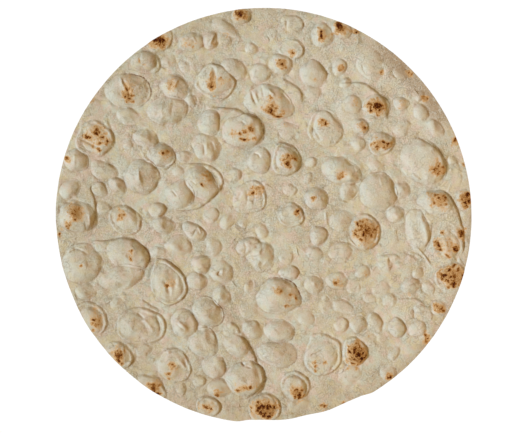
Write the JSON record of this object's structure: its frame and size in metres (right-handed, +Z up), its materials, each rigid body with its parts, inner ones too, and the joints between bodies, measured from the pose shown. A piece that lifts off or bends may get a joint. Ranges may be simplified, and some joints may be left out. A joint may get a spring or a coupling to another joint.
{
  "type": "oat tannour flatbread",
  "caption": "Thin round flatbread, blistered all over and toasted brown on the blisters, cut to a clean rim, lying flat on its underside.",
  "frame": {"origin": "middle of the bread's round, on its flat underside", "axes": "+Z up, out of the blistered face; +X to the right and +Y away from a viewer who looks straight down with the flattened stretch of rim nearest them and a little to the right"},
  "size_m": [0.3008, 0.299, 0.0095],
  "materials": {
    "bread": "matte baked dough, pale cream with tan and dark brown toasted spots"
  },
  "bodies": {
    "root": {"flatbread": "bread"}
  },
  "joints": []
}
